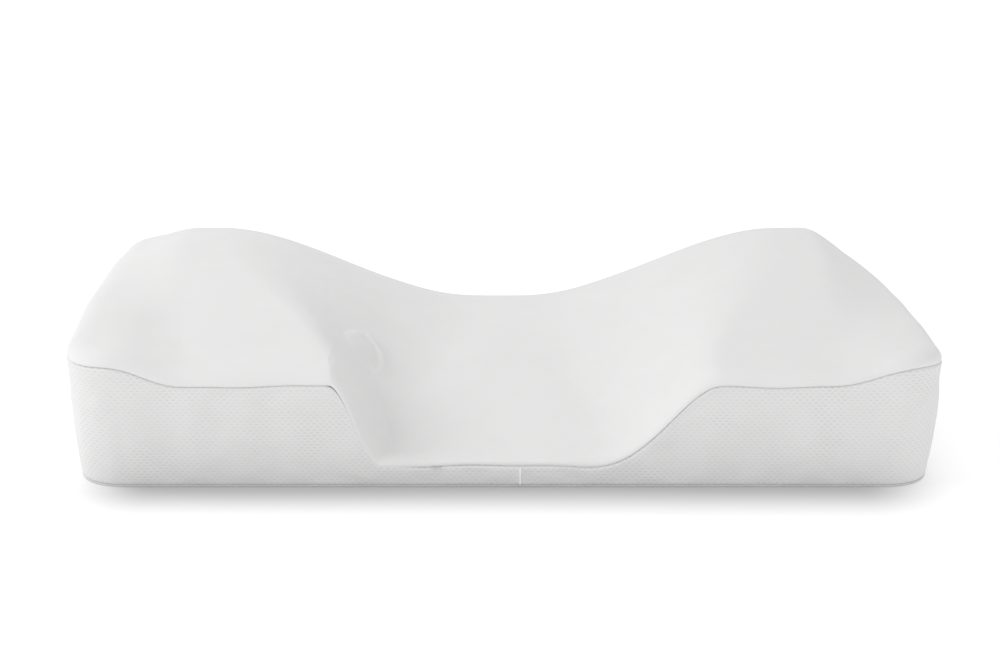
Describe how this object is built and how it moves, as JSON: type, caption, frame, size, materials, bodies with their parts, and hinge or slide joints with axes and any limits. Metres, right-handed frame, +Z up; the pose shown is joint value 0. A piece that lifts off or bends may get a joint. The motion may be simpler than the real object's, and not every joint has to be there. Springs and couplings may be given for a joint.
{
  "type": "contoured cervical pillow",
  "caption": "Contoured foam pillow for the neck: low front lip, central trough rising to a neck roll, raised side wings, knitted cover with a zip at the back.",
  "frame": {"origin": "middle of the underside, on the surface that the pillow lies on", "axes": "+X towards the right-hand end seen from the low front lip, +Y from the front lip towards the neck roll and the zip, +Z up"},
  "size_m": [0.6, 0.3532, 0.1171],
  "materials": {
    "foam": "matt open-cell memory foam, pale cream",
    "liner": "thin plain white tricot",
    "cover_top": "smooth fine white knit, soft and slightly lofted",
    "cover_mesh": "white warp-knit air mesh with fine staggered pores",
    "cover_base": "plain white woven fabric",
    "zip_tape": "white woven polyester tape",
    "zip_coil": "white nylon coil, satin",
    "zip_metal": "pressed aluminium stops",
    "zip_slider": "white enamel on die-cast zinc",
    "label": "blank white satin ribbon"
  },
  "bodies": {
    "root": {"foam_core": "foam", "core_liner_top": "liner", "core_liner_base": "liner", "cover_top_panel": "cover_top", "cover_gusset_left": "cover_mesh", "cover_gusset_right": "cover_mesh", "cover_zip_strip_upper": "cover_mesh", "cover_zip_strip_lower": "cover_mesh", "cover_bottom_panel": "cover_base", "zip_tape_upper": "zip_tape", "zip_tape_lower": "zip_tape", "zip_coil_upper": "zip_coil", "zip_coil_lower": "zip_coil", "zip_bottom_stop": "zip_metal", "zip_top_stops": "zip_metal", "care_label": "label"},
    "slider": {"zip_slider_body": "zip_slider"},
    "pull_tab": {"zip_pull_tab": "zip_slider"}
  },
  "joints": [
    {"name": "zip_slide", "type": "slide", "parent": "root", "child": "slider", "axis": [-1, 0, 0], "range_m": [0, 0.48], "deforming": ["zip_coil_upper", "zip_coil_lower"]},
    {"name": "pull_tab_hinge", "type": "hinge", "parent": "slider", "child": "pull_tab", "pos_m": [0.241, 0.17675, 0.018], "axis": [0, 0, -1], "range_deg": [0, 170]}
  ]
}
